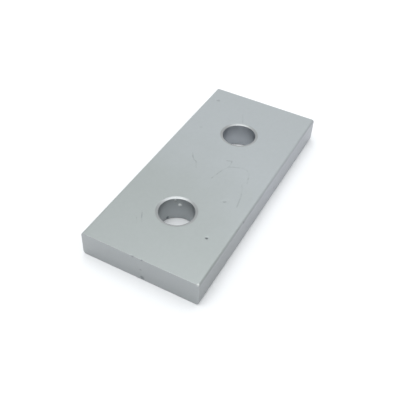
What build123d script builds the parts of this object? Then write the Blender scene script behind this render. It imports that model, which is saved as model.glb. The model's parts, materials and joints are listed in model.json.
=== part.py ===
"""Two-hole joining plate for slotted aluminium extrusion: flat bar, cut, drilled and countersunk.

The plate lies with its mounting face on the XY plane and its length along X.
Its origin is the centre of that face, and the screws go in from above, along -Z.
All sizes are in millimetres.
"""

import os

from build123d import *

# Flat bar, its corners a little softer underneath than on top
plate_length = 40.0
plate_width = 18.0
plate_thickness = 4.0
top_corner_radius = 0.35
base_corner_radius = 0.5

# Light deburring round both sawn ends
end_edge_radius = 0.05

# Screw holes, close clearance for M5, on the centre line
hole_count = 2
hole_spacing = 20.0
hole_diameter = 5.2

# Shallow countersink round both mouths of each hole
countersink_width = 0.4
countersink_depth = 0.1

section_plane = Plane.YZ.offset(-plate_length / 2)
section_centre = (0, plate_thickness / 2)
top_face = Plane.XY.offset(plate_thickness)

with BuildPart() as plate:
    # Bar section, its width along Y, drawn out to the length of the plate
    with BuildSketch(section_plane) as bar_section:
        with Locations(section_centre):
            Rectangle(plate_width, plate_thickness)
        fillet(bar_section.vertices().group_by(Axis.Y)[0], base_corner_radius)
        fillet(bar_section.vertices().group_by(Axis.Y)[-1], top_corner_radius)
    extrude(amount=plate_length)

    # The rim of each sawn end
    end_faces = plate.faces().sort_by(Axis.X)
    fillet(end_faces[0].edges() + end_faces[-1].edges(), end_edge_radius)

    # Holes drilled right through
    with BuildSketch(top_face) as hole_layout:
        with GridLocations(hole_spacing, hole_spacing, hole_count, 1):
            Circle(hole_diameter / 2)
    extrude(amount=-plate_thickness, mode=Mode.SUBTRACT)

    # Both mouths of each hole countersunk, the base face first
    for side in (0, -1):
        face = plate.faces().sort_by(Axis.Z)[side]
        mouths = face.edges().filter_by(GeomType.CIRCLE)
        chamfer(mouths, countersink_width, countersink_depth, reference=face)

plate.part.label = "joining_plate"

os.makedirs("parts", exist_ok=True)
export_step(plate.part, "parts/joining_plate.step")
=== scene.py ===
import json
import math

import bmesh
import bpy
import numpy as np
from mathutils import Matrix, Vector


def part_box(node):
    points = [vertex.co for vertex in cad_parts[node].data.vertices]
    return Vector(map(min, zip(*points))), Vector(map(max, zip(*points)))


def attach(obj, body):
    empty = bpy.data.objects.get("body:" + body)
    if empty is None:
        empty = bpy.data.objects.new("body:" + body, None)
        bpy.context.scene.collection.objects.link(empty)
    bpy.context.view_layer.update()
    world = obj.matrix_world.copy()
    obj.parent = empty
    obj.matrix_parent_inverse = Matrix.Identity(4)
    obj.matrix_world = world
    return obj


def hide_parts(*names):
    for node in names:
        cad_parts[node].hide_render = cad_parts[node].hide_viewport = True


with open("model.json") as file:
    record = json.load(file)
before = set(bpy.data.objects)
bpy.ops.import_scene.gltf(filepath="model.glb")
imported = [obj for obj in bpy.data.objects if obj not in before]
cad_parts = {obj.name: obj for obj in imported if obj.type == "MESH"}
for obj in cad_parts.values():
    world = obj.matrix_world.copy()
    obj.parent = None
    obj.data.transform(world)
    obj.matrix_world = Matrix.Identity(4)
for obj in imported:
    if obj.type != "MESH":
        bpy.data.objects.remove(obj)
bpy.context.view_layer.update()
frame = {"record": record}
print("frame loaded")

mm = 0.001

plateLow, plateHigh = (np.array(corner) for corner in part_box("joining_plate"))
plateSize = plateHigh - plateLow
mounts = {mount["name"]: mount for mount in frame["record"]["mounts"]}
holes = [mounts["hole_left"], mounts["hole_right"]]
holeX = max(hole["pos_m"][0] for hole in holes)
holeRadius = holes[0]["dims"]["r_mm"] * mm
mouthDepth = (plateSize[2] - holes[0]["dims"]["length_mm"] * mm) / 2

# the plate: flat bar with softer lower corners, sawn to length, deburred round both ends,
# drilled and countersunk

plateForm = {
    "topRadius": 0.35 * mm,       # upper corners of the bar's section
    "baseRadius": 0.50 * mm,      # lower corners of the bar's section
    "endRadius": 0.05 * mm,       # rim of each sawn end
    "mouthWidth": 0.40 * mm,      # shallow countersink round each mouth
    "lipRadius": 0.05 * mm,       # burnished lips of each countersink
    "lengthSteps": 64,            # steps along half of the plate
    "widthSteps": 60,             # steps across it
    "faceRings": 26,              # rings between a hole and the edge of its face
    "arcSteps": 6,                # steps round an edge
    "lipSteps": 2,                # steps round a countersink's outer lip
    "wallSteps": 10,              # steps down a wall
    "crowding": 0.9,              # how far steps crowd towards the ends of their run, 0 for even ones
    "mergeGap": 0.001 * mm,       # points nearer than this become one
    "nickReach": 1.5,             # faces are cut finer within this many radii of a nick
    "nickCuts": 3,                # and each of their edges is cut this often
}

# small dents from handling: middle, radius and depth in mm, and how dark (below 0) or
# bright (above 0) each is; the bright ones are painted glints and a painted highlight, and one dark one
# is painted shade

nicks = {
    "facePit": {"at": (-12.4, -6.0, 4.0), "radius": 0.26, "depth": 0.11, "tone": -1.0},
    "faceSpeck": {"at": (-4.9, -4.9, 4.0), "radius": 0.34, "depth": 0.05, "tone": -0.30},
    "farSpeck": {"at": (16.8, 7.2, 4.0), "radius": 0.42, "depth": 0.05, "tone": -0.36},
    "faintSpeck": {"at": (8.7, 6.2, 4.0), "radius": 0.34, "depth": 0.02, "tone": -0.10},
    "endTopNick": {"at": (-20.0, 0.9, 3.95), "radius": 0.26, "depth": 0.07, "tone": -0.35},
    "endTopChip": {"at": (-20.0, -0.5, 3.95), "radius": 0.22, "depth": 0.07, "tone": -0.45},
    "endSpeck": {"at": (-20.0, -0.3, 1.9), "radius": 0.24, "depth": 0.04, "tone": -0.30},
    "endBaseChip": {"at": (-20.0, -0.5, 0.4), "radius": 0.45, "depth": 0.10, "tone": -0.45},
    "sideSpeck": {"at": (3.8, -9.0, 1.7), "radius": 0.30, "depth": 0.04, "tone": -0.25},
    "sideTopChip": {"at": (-7.1, -9.0, 3.8), "radius": 0.26, "depth": 0.06, "tone": -0.30},
    # painted highlight: a small dent at the corner, made bright where the edge catches light
    "cornerNickHighlight": {"at": (-19.9, -8.75, 3.95), "radius": 0.26, "depth": 0.06, "tone": 0.32},
    # painted glint: a small dent in a bore's wall, made bright
    "boreGlint": {"at": (-7.54, 0.85, 2.71), "radius": 0.36, "depth": 0.07, "tone": 1.0},
    # painted glint, fainter, on another small dent in the same wall
    "boreFaintGlint": {"at": (-7.83, 1.44, 3.66), "radius": 0.22, "depth": 0.05, "tone": 0.8},
    # painted shade: a small dent darkened at the foot of the bore's wall
    "boreShadeSpeck": {"at": (-8.70, 2.25, 0.45), "radius": 0.30, "depth": 0.07, "tone": -0.9},
}


def smoothStep(t):
    # 3 t^2 - 2 t^3: from 0 to 1, level at both ends
    return t * t * (3 - 2 * t)


def eased(steps):
    # shares from 0 to 1, crowded at both ends: t + (smooth(t) - t) * crowding
    t = np.linspace(0, 1, steps + 1)
    return t + (smoothStep(t) - t) * plateForm["crowding"]


def sideProfile(inset):
    # one side of the bar's section as y, z points from its upper flat down to its lower flat,
    # drawn in by inset: quarter circle c + r (cos a, sin a), wall, quarter circle
    halfWidth, top, base = plateSize[1] / 2, plateForm["topRadius"], plateForm["baseRadius"]
    quarter = np.linspace(math.pi / 2, 0, plateForm["arcSteps"] + 1)
    upper = np.stack([halfWidth - top + (top - inset) * np.cos(quarter),
                      plateHigh[2] - top + (top - inset) * np.sin(quarter)], 1)
    lower = np.stack([halfWidth - base + (base - inset) * np.cos(quarter - math.pi / 2),
                      plateLow[2] + base + (base - inset) * np.sin(quarter - math.pi / 2)], 1)
    down = eased(plateForm["wallSteps"])[1:-1, None]
    return np.concatenate([upper, upper[-1] + down * (lower[0] - upper[-1]), lower])


def across(halfSpan):
    # places across the plate, from -halfSpan to halfSpan
    return (2 * eased(plateForm["widthSteps"]) - 1) * halfSpan


def alongHalf():
    # places along the +X half, from its middle to where the end rim begins
    return eased(plateForm["lengthSteps"]) * (plateSize[0] / 2 - plateForm["endRadius"])


def faceSheet(halfWidth, height, mouth):
    # rings from the hole's mouth out to the edge of a flat face, (1 - g) mouth + g edge at one
    # height, and the direction of each of their points from the hole's axis
    run, span = alongHalf(), across(halfWidth)
    edge = np.concatenate([np.stack([run[:-1], np.full(len(run) - 1, -halfWidth)], 1),
                           np.stack([np.full(len(span) - 1, run[-1]), span[:-1]], 1),
                           np.stack([run[:0:-1], np.full(len(run) - 1, halfWidth)], 1),
                           np.stack([np.zeros(len(span) - 1), span[:0:-1]], 1)])
    way = edge - (holeX, 0)
    around = way / np.linalg.norm(way, axis=1, keepdims=True)
    rim = around * mouth + (holeX, 0)
    share = eased(plateForm["faceRings"])[:, None, None]
    flat = rim + share * (edge - rim)
    return np.concatenate([flat, np.full(flat.shape[:2] + (1,), height)], 2), around


def sideSheet(side):
    # a long side: its profile carried along X, at +Y for side 1 and at -Y for side -1
    profile, run = sideProfile(0), alongHalf()
    wall = np.broadcast_to(profile[None], (len(run), *profile.shape)) * (side, 1)
    along = np.broadcast_to(run[:, None, None], (len(run), len(profile), 1))
    return np.concatenate([along, wall], 2)


def sectionRing(inset, x):
    # the whole section as a closed ring at one place along X: right side, upper flat, left side,
    # lower flat
    profile = sideProfile(inset)
    upper, lower = across(profile[0, 0])[::-1], across(profile[-1, 0])
    ring = np.concatenate([profile[::-1][:-1],
                           np.stack([upper[:-1], np.full(len(upper) - 1, profile[0, 1])], 1),
                           (profile * (-1, 1))[:-1],
                           np.stack([lower[:-1], np.full(len(lower) - 1, profile[-1, 1])], 1)])
    return np.concatenate([np.full((len(ring), 1), x), ring], 1)


def endRim():
    # the quarter round between the bar and its sawn end: drawn in by r (1 - cos a) while X grows
    # by r sin a
    radius, reach = plateForm["endRadius"], plateSize[0] / 2
    angles = np.linspace(0, math.pi / 2, plateForm["arcSteps"] + 1)
    return np.array([sectionRing(radius * (1 - math.cos(a)), reach - radius * (1 - math.sin(a)))
                     for a in angles])


def endSheet():
    # the sawn end between its four borders: (1 - v) top + v base + (1 - u) left + u right, less
    # the corners' blend
    profile = sideProfile(plateForm["endRadius"])
    u = eased(plateForm["widthSteps"])[None, :, None]
    v = np.linspace(0, 1, len(profile))[:, None, None]
    right, left = profile[:, None], (profile * (-1, 1))[:, None]
    top, base = (left[end] + u * (right[end] - left[end]) for end in (0, -1))
    blend = (1 - v) * top + v * base
    flat = blend + (1 - u) * (left - blend[:, :1]) + u * (right - blend[:, -1:])
    return np.concatenate([np.full(flat.shape[:2] + (1,), plateSize[0] / 2), flat], 2)


def holeProfile():
    # radius and height down the hole, for lips of radius l and a slope of angle s: outer lip
    # mouth + l (tan(s / 2) - sin a), inner lip hole + l (1 - cos a), wall, and the same below
    lip, mouth = plateForm["lipRadius"], holeRadius + plateForm["mouthWidth"]
    slope = math.atan(mouthDepth / plateForm["mouthWidth"])
    outer = np.linspace(0, slope, plateForm["lipSteps"] + 1)
    inner = np.linspace(math.pi / 2 - slope, 0, plateForm["arcSteps"])
    wallTop = plateHigh[2] - mouthDepth - lip * math.tan(inner[0] / 2)
    radius = np.concatenate([mouth + lip * (math.tan(slope / 2) - np.sin(outer)),
                             holeRadius + lip * (1 - np.cos(inner))])
    height = np.concatenate([plateHigh[2] - lip * (1 - np.cos(outer)),
                             wallTop + lip * np.sin(inner)])
    middle = (plateHigh[2] + plateLow[2]) / 2
    wall = wallTop + eased(plateForm["wallSteps"])[1:-1] * 2 * (middle - wallTop)
    return (np.concatenate([radius, np.full(len(wall), holeRadius), radius[::-1]]),
            np.concatenate([height, wall, 2 * middle - height[::-1]]))


def boreSheet(aroundTop, aroundBase):
    # rings down the hole: r(h) times a direction that turns from the upper face's spacing to the
    # lower face's
    radius, height = holeProfile()
    share = ((plateHigh[2] - height) / plateSize[2])[:, None, None]
    around = (1 - share) * aroundTop + share * aroundBase
    around /= np.linalg.norm(around, axis=2, keepdims=True)
    return np.concatenate([around * radius[:, None, None] + (holeX, 0),
                           np.broadcast_to(height[:, None, None], around.shape[:2] + (1,))], 2)


def gridQuads(start, rows, columns, closed):
    # quads between neighbouring rows of a grid whose points are numbered from start, row by row
    wide = columns if closed else columns - 1
    row, column = np.meshgrid(np.arange(rows - 1), np.arange(wide), indexing="ij")
    beside = (column + 1) % columns
    quads = np.stack([row * columns + column, row * columns + beside,
                      (row + 1) * columns + beside, (row + 1) * columns + column], -1)
    return start + quads.reshape(-1, 4)


def joinSheets(sheets):
    # all the sheets' points one after another, and the quads between them; closed says that a
    # sheet's rows are rings
    points, quads, start = [], [], 0
    for sheet, closed in sheets:
        rows, columns = sheet.shape[:2]
        quads.append(gridQuads(start, rows, columns, closed))
        points.append(sheet.reshape(-1, 3))
        start += rows * columns
    return np.concatenate(points), np.concatenate(quads)


def nickValues(key):
    return np.array([nick[key] for nick in nicks.values()]) * mm


def refineAtNicks(shell):
    # the faces round each nick are cut finer, so that its hollow is round
    reach = nickValues("radius") * plateForm["nickReach"]
    middles = np.array([face.calc_center_median() for face in shell.faces])
    away = np.linalg.norm(middles[:, None] - nickValues("at")[None], axis=2)
    close = np.flatnonzero((away < reach).any(axis=1))
    shell.faces.ensure_lookup_table()
    edges = {edge for index in close for edge in shell.faces[index].edges}
    bmesh.ops.subdivide_edges(shell, edges=list(edges), cuts=plateForm["nickCuts"],
                              use_grid_fill=True)


def sinkNicks(mesh):
    # each point goes down its normal by the sum over the nicks of
    # depth * (1 - smooth(distance / radius))
    count = len(mesh.vertices)
    points, normals = np.empty(count * 3), np.empty(count * 3)
    mesh.vertices.foreach_get("co", points)
    mesh.vertices.foreach_get("normal", normals)
    points, normals = points.reshape(-1, 3), normals.reshape(-1, 3)
    away = np.linalg.norm(points[:, None] - nickValues("at")[None], axis=2) / nickValues("radius")
    hollow = 1 - smoothStep(np.clip(away, 0, 1))
    sink = (nickValues("depth") * hollow).sum(axis=1, keepdims=True)
    mesh.vertices.foreach_set("co", (points - normals * sink).ravel())
    mesh.update()


def putInScene(name, data):
    thing = bpy.data.objects.new(name, data)
    bpy.context.scene.collection.objects.link(thing)
    return thing


def buildPlate():
    # the +X half sheet by sheet, mirrored for the other half, then merged and dented
    halfWidth, mouth = plateSize[1] / 2, holeProfile()[0][0]
    topFace, aroundTop = faceSheet(halfWidth - plateForm["topRadius"], plateHigh[2], mouth)
    baseFace, aroundBase = faceSheet(halfWidth - plateForm["baseRadius"], plateLow[2], mouth)
    half, quads = joinSheets([(topFace, True), (baseFace, True),
                              (boreSheet(aroundTop, aroundBase), True),
                              (sideSheet(1), False), (sideSheet(-1), False),
                              (endRim(), True), (endSheet(), False)])
    points = np.concatenate([half, half * (-1, 1, 1)])
    faces = np.concatenate([quads, quads[:, ::-1] + len(half)])
    mesh = bpy.data.meshes.new("plateBody")
    mesh.from_pydata(points.tolist(), [], faces.tolist())
    shell = bmesh.new()
    shell.from_mesh(mesh)
    bmesh.ops.remove_doubles(shell, verts=shell.verts, dist=plateForm["mergeGap"])
    bmesh.ops.recalc_face_normals(shell, faces=shell.faces)
    refineAtNicks(shell)
    print("open edges", sum(not edge.is_manifold for edge in shell.edges))
    shell.to_mesh(mesh)
    shell.free()
    mesh.shade_smooth()
    sinkNicks(mesh)
    return putInScene("plateBody", mesh)


plate = buildPlate()
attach(plate, "root")
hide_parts("joining_plate")
print("plate", len(plate.data.vertices), "points", len(plate.data.polygons), "faces")

# small helpers for node trees: a number, vector or colour is set on the socket, a socket is
# linked to it


def feed(tree, socket, value):
    if isinstance(value, bpy.types.NodeSocket):
        tree.links.new(value, socket)
    else:
        socket.default_value = value


def mathNode(tree, operation, first, second=0.0):
    node = tree.nodes.new("ShaderNodeMath")
    node.operation = operation
    feed(tree, node.inputs[0], first)
    feed(tree, node.inputs[1], second)
    return node.outputs[0]


def add(tree, first, second):
    return mathNode(tree, "ADD", first, second)


def subtract(tree, first, second):
    return mathNode(tree, "SUBTRACT", first, second)


def multiply(tree, first, second):
    return mathNode(tree, "MULTIPLY", first, second)


def stronger(tree, first, second):
    return mathNode(tree, "MAXIMUM", first, second)


def centred(tree, noise):
    # a noise less its middle value
    return subtract(tree, noise, 0.5)


def vectorNode(tree, operation, first, second=(0, 0, 0), output="Vector"):
    node = tree.nodes.new("ShaderNodeVectorMath")
    node.operation = operation
    feed(tree, node.inputs[0], first)
    feed(tree, node.inputs[1], second)
    return node.outputs[output]


def splitNode(tree, vector):
    node = tree.nodes.new("ShaderNodeSeparateXYZ")
    tree.links.new(vector, node.inputs[0])
    return node.outputs


def spreadNode(tree, value):
    # one number on all three axes
    node = tree.nodes.new("ShaderNodeCombineXYZ")
    for socket in node.inputs:
        tree.links.new(value, socket)
    return node.outputs[0]


def rangeNode(tree, value, low, high):
    # 0 at low and 1 at high, smoothly; low may be the larger
    node = tree.nodes.new("ShaderNodeMapRange")
    node.interpolation_type = "SMOOTHSTEP"
    feed(tree, node.inputs["Value"], value)
    feed(tree, node.inputs["From Min"], low)
    feed(tree, node.inputs["From Max"], high)
    return node.outputs[0]


def mixNode(tree, blend, share, first, second):
    # sockets 6 and 7 are a colour mix's two colours, and output 2 is its result
    node = tree.nodes.new("ShaderNodeMix")
    node.data_type = "RGBA"
    node.blend_type = blend
    node.clamp_result = False
    feed(tree, node.inputs["Factor"], share)
    feed(tree, node.inputs[6], first)
    feed(tree, node.inputs[7], second)
    return node.outputs[2]


def opaque(colour):
    return (*colour, 1)


# shared effects: they work in mm, and give masks and heights from 0 to 1, and distances


def newGroup(name, takes, gives):
    # an empty node group with float or vector inputs, each with its usual value, and float outputs
    group = bpy.data.node_groups.new(name, "ShaderNodeTree")
    for label, usual in takes.items():
        kind = "NodeSocketVector" if isinstance(usual, tuple) else "NodeSocketFloat"
        group.interface.new_socket(label, in_out="INPUT", socket_type=kind).default_value = usual
    for label in gives:
        group.interface.new_socket(label, in_out="OUTPUT", socket_type="NodeSocketFloat")
    given, wanted = group.nodes.new("NodeGroupInput"), group.nodes.new("NodeGroupOutput")
    return group, given.outputs, wanted.inputs


def placeGroup(tree, group, **values):
    node = tree.nodes.new("ShaderNodeGroup")
    node.node_tree = group
    for label, value in values.items():
        feed(tree, node.inputs[label], value)
    return node.outputs


def noiseNode(tree, position, size, detail=2.0, roughness=0.5):
    # mottle whose blotches are about size mm across
    node = tree.nodes.new("ShaderNodeTexNoise")
    tree.links.new(position, node.inputs["Vector"])
    feed(tree, node.inputs["Scale"], mathNode(tree, "DIVIDE", 1, size))
    node.inputs["Detail"].default_value = detail
    node.inputs["Roughness"].default_value = roughness
    return node.outputs[0]


def blastGrainGroup():
    # the fine even grain of a blasted and anodised skin, and the broad mottle under it
    takes = {"Position": (0, 0, 0), "Grain": 0.07, "Mottle": 0.6, "GrainShare": 0.35}
    group, given, wanted = newGroup("blastGrain", takes, ["Height", "Tone"])
    fine = noiseNode(group, given["Position"], given["Grain"], detail=3, roughness=0.6)
    broad = noiseNode(group, given["Position"], given["Mottle"], detail=2)
    fineTone = multiply(group, fine, given["GrainShare"])
    broadTone = multiply(group, broad, subtract(group, 1, given["GrainShare"]))
    group.links.new(fine, wanted["Height"])
    group.links.new(add(group, fineTone, broadTone), wanted["Tone"])
    return group


def toolMarkGroup():
    # lines left by a tool: noise that changes along Across alone, bent a little by Wander over
    # stretches of about Bend
    takes = {"Position": (0, 0, 0), "Across": 0.0, "Pitch": 0.15, "Wander": 0.05, "Bend": 3.0}
    group, given, wanted = newGroup("toolMark", takes, ["Height"])
    bend = centred(group, noiseNode(group, given["Position"], given["Bend"]))
    line = add(group, given["Across"], multiply(group, bend, given["Wander"]))
    noise = group.nodes.new("ShaderNodeTexNoise")
    noise.noise_dimensions = "1D"
    noise.inputs["Detail"].default_value = 3
    group.links.new(mathNode(group, "DIVIDE", line, given["Pitch"]), noise.inputs["W"])
    group.links.new(noise.outputs[0], wanted["Height"])
    return group


def strokeGroup():
    # 1 on the line from Start to End out to Core of its Width, 0 beyond Width; a point is a line
    # whose ends are the same
    takes = {"Position": (0, 0, 0), "Start": (0, 0, 0), "End": (0, 0, 0), "Width": 0.1, "Core": 0.3}
    group, given, wanted = newGroup("stroke", takes, ["Mask"])
    run = vectorNode(group, "SUBTRACT", given["End"], given["Start"])
    away = vectorNode(group, "SUBTRACT", given["Position"], given["Start"])
    length = vectorNode(group, "DOT_PRODUCT", run, run, output="Value")
    length = stronger(group, length, 1e-6)    # a point's own line must not divide by nothing
    share = vectorNode(group, "DOT_PRODUCT", away, run, output="Value")
    share = mathNode(group, "DIVIDE", share, length)
    share = mathNode(group, "MINIMUM", stronger(group, share, 0), 1)
    nearest = vectorNode(group, "MULTIPLY", run, spreadNode(group, share))
    gap = vectorNode(group, "SUBTRACT", away, nearest)
    gap = vectorNode(group, "LENGTH", gap, output="Value")
    core = multiply(group, given["Width"], given["Core"])
    group.links.new(rangeNode(group, gap, given["Width"], core), wanted["Mask"])
    return group


def drilledHoleGroup():
    # masks of the countersinks and the wall of two like holes at Middle on either side of the
    # origin, and the distance from the nearer one's axis; the masks fade out over the Fades
    takes = {"Position": (0, 0, 0), "Middle": 10.0, "Mouth": 3.0, "Halfway": 2.0, "Depth": 0.1,
             "FaceFade": 0.02, "WallFade": 0.03}
    group, given, wanted = newGroup("drilledHole", takes, ["Radius", "Mouth", "Wall"])
    x, y, z = splitNode(group, given["Position"])
    along = subtract(group, mathNode(group, "ABSOLUTE", x), given["Middle"])
    square = add(group, multiply(group, along, along), multiply(group, y, y))
    radius = mathNode(group, "SQRT", square)
    rim = add(group, given["Mouth"], given["FaceFade"])
    inside = rangeNode(group, radius, rim, given["Mouth"])
    level = mathNode(group, "ABSOLUTE", subtract(group, z, given["Halfway"]))
    lip = subtract(group, given["Halfway"], given["Depth"])
    outer = rangeNode(group, level, subtract(group, lip, given["WallFade"]), lip)
    group.links.new(radius, wanted["Radius"])
    group.links.new(multiply(group, inside, outer), wanted["Mouth"])
    group.links.new(multiply(group, inside, subtract(group, 1, outer)), wanted["Wall"])
    return group


# finish: blasted and anodised aluminium, with painted shade on its sides, ends and hole walls and
# painted glints; sizes, places and depths are in mm

finish = {
    "greenTone": (0.395, 0.430, 0.429),     # towards the -X end
    "coolTone": (0.450, 0.486, 0.502),      # towards the +X end
    "toneFrom": -13.0,                      # where along X the one turns into the other
    "toneTo": 9.0,
    "toneSlant": 0.5,                       # that place moves along X by this share of Y
    "toneBlotch": 7.0,                      # and wanders over blotches of this size,
    "toneWander": 14.0,                     # within a band this wide
    "sideShadeTint": (0.885, 0.846, 0.866),      # painted shade: the sides are greyer than the faces, and darker for the less light that falls on them
    "endShadeTint": (1.000, 0.958, 0.975),       # the sawn ends less so, also painted shade and a greyer tint
    "wallShadeTint": (0.965, 0.940, 0.960),      # and so are the holes, painted shade and tint on their walls
    "faceNormal": 0.9,                      # Z of the normal where a face's colour begins to turn
    "sideNormal": 0.3,                      # into a side's painted shade and tint, and where it has turned
    "endFade": 0.01,                        # an end's saw lines and its painted shade start this far inside its rim
    "roughness": 0.45,
    "roughSwing": 0.06,                     # range that the mottle gives it
    "grainSize": 0.07,
    "mottleSize": 0.55,
    "grainShare": 0.35,                     # share of the grain in the mottle's tone
    "grainDepth": 0.0022,
    "toneSwing": 0.05,                      # how far the mottle lightens and darkens the skin
    "sawPitch": 0.16,                       # nearly upright lines on the ends
    "sawDepth": 0.004,
    "sawSwing": 0.05,                       # how far they lighten and darken an end
    "sawSlant": 0.35,                       # how far they lean from upright
    "sawWander": 0.4,                       # how far they bend
    "drawPitch": 0.11,                      # lines along the bar
    "drawDepth": 0.0016,
    "drawWander": 0.05,
    "turnPitch": 0.05,                      # rings in the holes
    "turnDepth": 0.002,
    "turnWander": 0.1,
    "lineBend": 3.0,                        # all three bend over stretches of this length
    "mouthColour": (0.36, 0.38, 0.385),     # smoother where it is countersunk
    "mouthRoughness": 0.30,
    "mouthFade": 0.02,                      # how softly that starts at the face
    "wallFade": 0.03,                       # and ends on the wall
    "markAndShadeColour": (0.20, 0.22, 0.23),       # grime in a scratch or a dent, and painted shade in the dent at the foot of a bore
    "markRoughness": 0.2,                   # how much rougher it is
    "markDepth": 0.01,
    "bareGlintColour": (0.93, 0.94, 0.93),       # bright metal in a dent: painted glints and a painted highlight
    "dentCore": 0.4,                        # share of a dent's radius at its full tone
    "scratchCore": 0.2,                     # share of a scratch's width at its full tone
    "skipSize": 1.0,                        # a scratch skips here and there
    "skipFrom": 0.40,                       # noise up to which it is faintest
    "skipTo": 0.58,                         # and from which it is whole
    "skipLeast": 0.2,                       # what is left of it where it is faintest
}

# light scratches on the upper face: the points of each line and its width in mm, and its strength

scratches = {
    "hairline": {"line": [(-1.4, -1.0), (0.0, -1.3), (1.1, -1.6), (2.0, -2.0)],
                 "width": 0.13, "strength": 0.36},
    "curl": {"line": [(2.0, -2.0), (2.9, -2.1), (3.6, -1.9), (3.3, -1.2)],
             "width": 0.15, "strength": 0.32},
    "drop": {"line": [(2.1, -2.0), (2.5, -2.8), (2.9, -4.0), (2.8, -4.8), (2.3, -5.4)],
             "width": 0.13, "strength": 0.30},
    "smear": {"line": [(2.2, -5.4), (1.4, -5.7), (0.2, -6.0)],
              "width": 0.17, "strength": 0.36},
    "tail": {"line": [(-0.5, -5.5), (-1.6, -6.1), (-2.9, -6.5), (-5.0, -6.9)],
             "width": 0.15, "strength": 0.28},
    "squiggle": {"line": [(2.4, 4.3), (1.6, 3.8), (1.0, 3.3), (0.8, 2.8), (-0.5, 2.1)],
                 "width": 0.15, "strength": 0.40},
    "shortScratch": {"line": [(-14.2, 3.1), (-13.4, 3.6), (-12.3, 4.2)],
                     "width": 0.14, "strength": 0.38},
    "sisterScratch": {"line": [(-14.7, 3.6), (-13.8, 4.2)],
                      "width": 0.12, "strength": 0.24},
    "faintLine": {"line": [(13.2, 0.9), (15.4, 1.9)],
                  "width": 0.18, "strength": 0.24},
}


def scratchMask(tree, position, stroke):
    # the strongest of all the scratches' lines at each point, weaker where they skip
    face = plateHigh[2] / mm
    skipped = noiseNode(tree, position, finish["skipSize"])
    skipped = rangeNode(tree, skipped, finish["skipFrom"], finish["skipTo"])
    skipped = multiply(tree, skipped, 1 - finish["skipLeast"])
    skipped = add(tree, skipped, finish["skipLeast"])
    dark = 0.0
    for scratch in scratches.values():
        line = [(x, y, face) for x, y in scratch["line"]]
        for start, end in zip(line[:-1], line[1:]):
            mask = placeGroup(tree, stroke, Position=position, Start=start, End=end,
                              Width=scratch["width"], Core=finish["scratchCore"])["Mask"]
            mask = multiply(tree, mask, skipped)
            dark = stronger(tree, multiply(tree, mask, scratch["strength"]), dark)
    return dark


def markMasks(tree, position):
    # how dark and how bright the skin is: the strongest of the scratches and nicks at each point, with
    # painted shade in one dent and painted glints and highlight in the bright ones
    stroke = strokeGroup()
    dark, glintOnBare = scratchMask(tree, position, stroke), 0.0
    for nick in nicks.values():
        mask = placeGroup(tree, stroke, Position=position, Start=nick["at"], End=nick["at"],
                          Width=nick["radius"], Core=finish["dentCore"])["Mask"]
        mask = multiply(tree, mask, abs(nick["tone"]))
        if nick["tone"] < 0:
            dark = stronger(tree, mask, dark)
        else:
            glintOnBare = stronger(tree, mask, glintOnBare)
    return dark, glintOnBare


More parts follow.
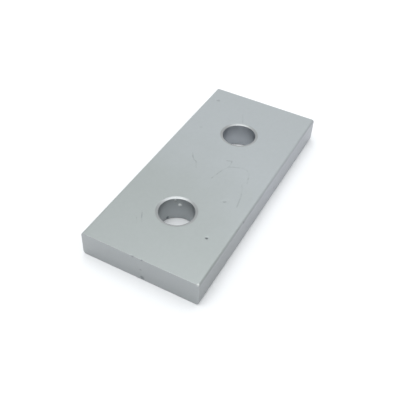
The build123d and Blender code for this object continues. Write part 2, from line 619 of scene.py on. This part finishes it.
def anodisedAluminium():
    material = bpy.data.materials.new("anodisedAluminium")
    material.use_nodes = True
    tree = material.node_tree
    shader = tree.nodes["Principled BSDF"]
    shader.inputs["Metallic"].default_value = 1
    place = tree.nodes.new("ShaderNodeTexCoord").outputs["Object"]
    position = vectorNode(tree, "MULTIPLY", place, (1 / mm, 1 / mm, 1 / mm))
    x, y, z = splitNode(tree, position)
    facing = splitNode(tree, tree.nodes.new("ShaderNodeNewGeometry").outputs["Normal"])
    upright = mathNode(tree, "ABSOLUTE", facing["Z"])
    level = rangeNode(tree, upright, finish["sideNormal"], finish["faceNormal"])
    rimStart = (plateHigh[0] - plateForm["endRadius"]) / mm
    rimEnd = plateHigh[0] / mm - finish["endFade"]
    sawn = rangeNode(tree, mathNode(tree, "ABSOLUTE", x), rimStart, rimEnd)

    grain = placeGroup(tree, blastGrainGroup(), Position=position, Grain=finish["grainSize"],
                       Mottle=finish["mottleSize"], GrainShare=finish["grainShare"])
    hole = placeGroup(tree, drilledHoleGroup(), Position=position, Middle=holeX / mm,
                      Mouth=(holeRadius + plateForm["mouthWidth"]) / mm,
                      Halfway=plateSize[2] / 2 / mm, Depth=mouthDepth / mm,
                      FaceFade=finish["mouthFade"], WallFade=finish["wallFade"])
    toolMark = toolMarkGroup()
    sawAcross = add(tree, y, multiply(tree, z, finish["sawSlant"]))
    saw = placeGroup(tree, toolMark, Position=position, Across=sawAcross, Bend=finish["lineBend"],
                     Pitch=finish["sawPitch"], Wander=finish["sawWander"])["Height"]
    drawAcross = add(tree, y, z)
    draw = placeGroup(tree, toolMark, Position=position, Across=drawAcross, Bend=finish["lineBend"],
                      Pitch=finish["drawPitch"], Wander=finish["drawWander"])["Height"]
    turnAcross = add(tree, hole["Radius"], z)
    turn = placeGroup(tree, toolMark, Position=position, Across=turnAcross, Bend=finish["lineBend"],
                      Pitch=finish["turnPitch"], Wander=finish["turnWander"])["Height"]
    dark, glintOnBare = markMasks(tree, position)

    # colour
    wander = centred(tree, noiseNode(tree, position, finish["toneBlotch"]))
    along = add(tree, x, multiply(tree, wander, finish["toneWander"]))
    along = subtract(tree, along, multiply(tree, y, finish["toneSlant"]))
    toned = rangeNode(tree, along, finish["toneFrom"], finish["toneTo"])
    colour = mixNode(tree, "MIX", toned, opaque(finish["greenTone"]), opaque(finish["coolTone"]))
    mottle = multiply(tree, centred(tree, grain["Tone"]), 2 * finish["toneSwing"])
    lines = multiply(tree, centred(tree, saw), sawn)
    swing = add(tree, mottle, multiply(tree, lines, 2 * finish["sawSwing"]))
    # painted shade: the sides, the sawn ends and the hole walls are made darker and greyer, for the
    # less light that falls on them
    shadeTint = mixNode(tree, "MIX", level, opaque(finish["sideShadeTint"]), (1, 1, 1, 1))
    shadeTint = mixNode(tree, "MIX", sawn, shadeTint, opaque(finish["endShadeTint"]))
    shadeTint = mixNode(tree, "MIX", hole["Wall"], shadeTint, opaque(finish["wallShadeTint"]))
    colour = vectorNode(tree, "MULTIPLY", colour, shadeTint)
    colour = vectorNode(tree, "MULTIPLY", colour, spreadNode(tree, add(tree, swing, 1)))
    colour = mixNode(tree, "MIX", hole["Mouth"], colour, opaque(finish["mouthColour"]))
    # scratches and dents darkened, and one dent at the foot of a bore darkened as painted shade
    colour = mixNode(tree, "MIX", dark, colour, opaque(finish["markAndShadeColour"]))
    # painted glints and highlight: the bright nicks get a bright colour
    colour = mixNode(tree, "MIX", glintOnBare, colour, opaque(finish["bareGlintColour"]))
    tree.links.new(colour, shader.inputs["Base Color"])

    # roughness
    rough = multiply(tree, grain["Tone"], finish["roughSwing"])
    rough = add(tree, rough, finish["roughness"] - finish["roughSwing"] / 2)
    smoother = stronger(tree, hole["Mouth"], glintOnBare)
    drop = multiply(tree, smoother, finish["roughness"] - finish["mouthRoughness"])
    rough = subtract(tree, rough, drop)
    rough = add(tree, rough, multiply(tree, dark, finish["markRoughness"]))
    tree.links.new(rough, shader.inputs["Roughness"])

    # relief
    height = multiply(tree, grain["Height"], finish["grainDepth"])
    height = add(tree, height, multiply(tree, draw, finish["drawDepth"]))
    height = multiply(tree, height, subtract(tree, 1, hole["Mouth"]))
    sawHeight = multiply(tree, multiply(tree, saw, sawn), finish["sawDepth"])
    cut = stronger(tree, hole["Mouth"], hole["Wall"])
    turnHeight = multiply(tree, multiply(tree, turn, cut), finish["turnDepth"])
    height = add(tree, height, add(tree, sawHeight, turnHeight))
    height = subtract(tree, height, multiply(tree, dark, finish["markDepth"]))
    bump = tree.nodes.new("ShaderNodeBump")
    bump.inputs["Distance"].default_value = mm
    tree.links.new(height, bump.inputs["Height"])
    tree.links.new(bump.outputs["Normal"], shader.inputs["Normal"])
    return material


plate.data.materials.append(anodisedAluminium())
print("finish")

# studio: a pale table in a dim room with a pale ceiling and a lit wall behind

studio = {
    "floorSize": 2.0,
    "floorColour": (0.885, 0.905, 0.922),
    "floorRoughness": 0.9,
    "floorGlow": 0.04,                   # seen straight or in gloss, the floor has this glow of its own
    "farGlow": 0.45,                     # and this one out where the lamps no longer reach
    "farFrom": 0.12,                     # distances in metres where the one turns into the other
    "farTo": 0.70,
    "horizon": (1.00, 1.00, 1.00),       # the pale end of the table
    "horizonFrom": 0.16,                 # shares of the way up where it starts to show, coming down
    "horizonTo": 0.07,                   # and where it is all there is
    "skyLow": (0.15, 0.15, 0.15),        # the dim room round the table
    "skyHigh": (0.88, 0.88, 0.88),       # the pale ceiling
    "skyFrom": 0.28,                     # heights where the one turns into the other
    "skyTo": 0.45,
    "backdrop": (0.93, 0.93, 0.93),      # the lit wall
    "backdropAzimuth": 22,               # where its middle stands, and how far it reaches to each side
    "backdropHalf": 85,
    "backdropFrom": 0.24,                # heights between which it fades out
    "backdropTo": 0.54,
}

# round soft lights, each seen from the plate at its azimuth and rise, with its edge spread off its
# middle; angles are in degrees, distances in metres

lamps = {
    "keyLamp": {"azimuth": 161, "rise": 73, "distance": 0.40, "spread": 18,
                "radiance": (2.25, 2.25, 2.25)},
    "topLamp": {"azimuth": 27, "rise": 75, "distance": 0.40, "spread": 16,
                "radiance": (1.30, 1.30, 1.30)},
    "fillLamp": {"azimuth": 260, "rise": 80, "distance": 0.40, "spread": 35,
                 "radiance": (0.25, 0.25, 0.25)},
}


def studioPaper():
    # matt paper with a little glow that only a straight look, gloss or glass sees
    material = bpy.data.materials.new("studioPaper")
    material.use_nodes = True
    tree = material.node_tree
    shader = tree.nodes["Principled BSDF"]
    shader.inputs["Base Color"].default_value = opaque(studio["floorColour"])
    shader.inputs["Roughness"].default_value = studio["floorRoughness"]
    shader.inputs["Specular IOR Level"].default_value = 0
    shader.inputs["Emission Color"].default_value = (1, 1, 1, 1)
    ray = tree.nodes.new("ShaderNodeLightPath").outputs
    seen = stronger(tree, ray["Is Camera Ray"], ray["Is Glossy Ray"])
    seen = stronger(tree, seen, ray["Is Transmission Ray"])
    place = tree.nodes.new("ShaderNodeTexCoord").outputs["Object"]
    distance = vectorNode(tree, "LENGTH", place, output="Value")
    away = rangeNode(tree, distance, studio["farFrom"], studio["farTo"])
    glow = multiply(tree, away, studio["farGlow"] - studio["floorGlow"])
    glow = multiply(tree, seen, add(tree, glow, studio["floorGlow"]))
    tree.links.new(glow, shader.inputs["Emission Strength"])
    return material


def studioFloor():
    half = studio["floorSize"] / 2
    corners = [(-half, -half, 0), (half, -half, 0), (half, half, 0), (-half, half, 0)]
    mesh = bpy.data.meshes.new("studioFloor")
    mesh.from_pydata(corners, [], [(0, 1, 2, 3)])
    mesh.materials.append(studioPaper())
    floor = putInScene("studioFloor", mesh)


def direction(azimuth, rise):
    # (cos e cos a, cos e sin a, sin e): the way to what stands at azimuth a from +X and at rise e
    a, e = math.radians(azimuth), math.radians(rise)
    return Vector((math.cos(e) * math.cos(a), math.cos(e) * math.sin(a), math.sin(e)))


def studioWorld():
    # dim room up to the ceiling, smoothly, a bright wall that fades to its sides and upwards,
    # and a pale horizon
    world = bpy.data.worlds.new("studioWorld")
    bpy.context.scene.world = world
    world.use_nodes = True
    tree = world.node_tree
    way = tree.nodes.new("ShaderNodeTexCoord").outputs["Generated"]
    height = splitNode(tree, way)["Z"]
    level = vectorNode(tree, "NORMALIZE", vectorNode(tree, "MULTIPLY", way, (1, 1, 0)))
    middle = direction(studio["backdropAzimuth"], 0)
    facing = vectorNode(tree, "DOT_PRODUCT", level, middle, output="Value")
    beside = rangeNode(tree, facing, math.cos(math.radians(studio["backdropHalf"])), 1)
    below = rangeNode(tree, height, studio["backdropTo"], studio["backdropFrom"])
    wall = multiply(tree, beside, below)
    upper = rangeNode(tree, height, studio["skyFrom"], studio["skyTo"])
    room = mixNode(tree, "MIX", upper, opaque(studio["skyLow"]), opaque(studio["skyHigh"]))
    room = mixNode(tree, "ADD", wall, room, opaque(studio["backdrop"]))
    low = rangeNode(tree, height, studio["horizonFrom"], studio["horizonTo"])
    room = mixNode(tree, "MIX", low, room, opaque(studio["horizon"]))
    tree.links.new(room, tree.nodes["Background"].inputs["Color"])


def studioLamp(name, azimuth, rise, distance, spread, radiance):
    # a disc of radius distance * tan(spread), whose power is pi * its area * its radiance
    radius = distance * math.tan(math.radians(spread))
    strength = max(radiance)
    light = bpy.data.lights.new(name, "AREA")
    light.shape = "DISK"
    light.size = 2 * radius
    light.color = [part / strength for part in radiance]
    light.energy = math.pi * math.pi * radius ** 2 * strength
    lamp = putInScene(name, light)
    way = direction(azimuth, rise)
    lamp.location = way * distance
    lamp.rotation_euler = way.to_track_quat("Z", "Y").to_euler()


studioFloor()
studioWorld()
for lampName, values in lamps.items():
    studioLamp(lampName, **values)
print("studio")

# camera: the point it aims at, and how it stands from there; angles in degrees, lens and sensor in mm

cameraSetup = {
    "aim": (-4.515 * mm, -0.808 * mm, 2.0 * mm),
    "azimuth": -153.545,
    "rise": 43.854,
    "roll": 2.723,
    "distance": 91.381 * mm,
    "lens": 56.057,
    "sensor": 36,
    "nearest": 1 * mm,
}


def studioCamera():
    data = bpy.data.cameras.new("studioCamera")
    data.sensor_width = cameraSetup["sensor"]
    data.lens = cameraSetup["lens"]
    data.clip_start = cameraSetup["nearest"]
    camera = putInScene("studioCamera", data)
    back = direction(cameraSetup["azimuth"], cameraSetup["rise"])
    right = Vector((0, 0, 1)).cross(back).normalized()
    right.rotate(Matrix.Rotation(math.radians(cameraSetup["roll"]), 3, back))
    turn = Matrix((right, back.cross(right), back)).transposed()
    place = Vector(cameraSetup["aim"]) + back * cameraSetup["distance"]
    camera.matrix_world = Matrix.Translation(place) @ turn.to_4x4()
    bpy.context.scene.camera = camera


studioCamera()
bpy.context.scene.view_settings.view_transform = "Standard"
print("camera")
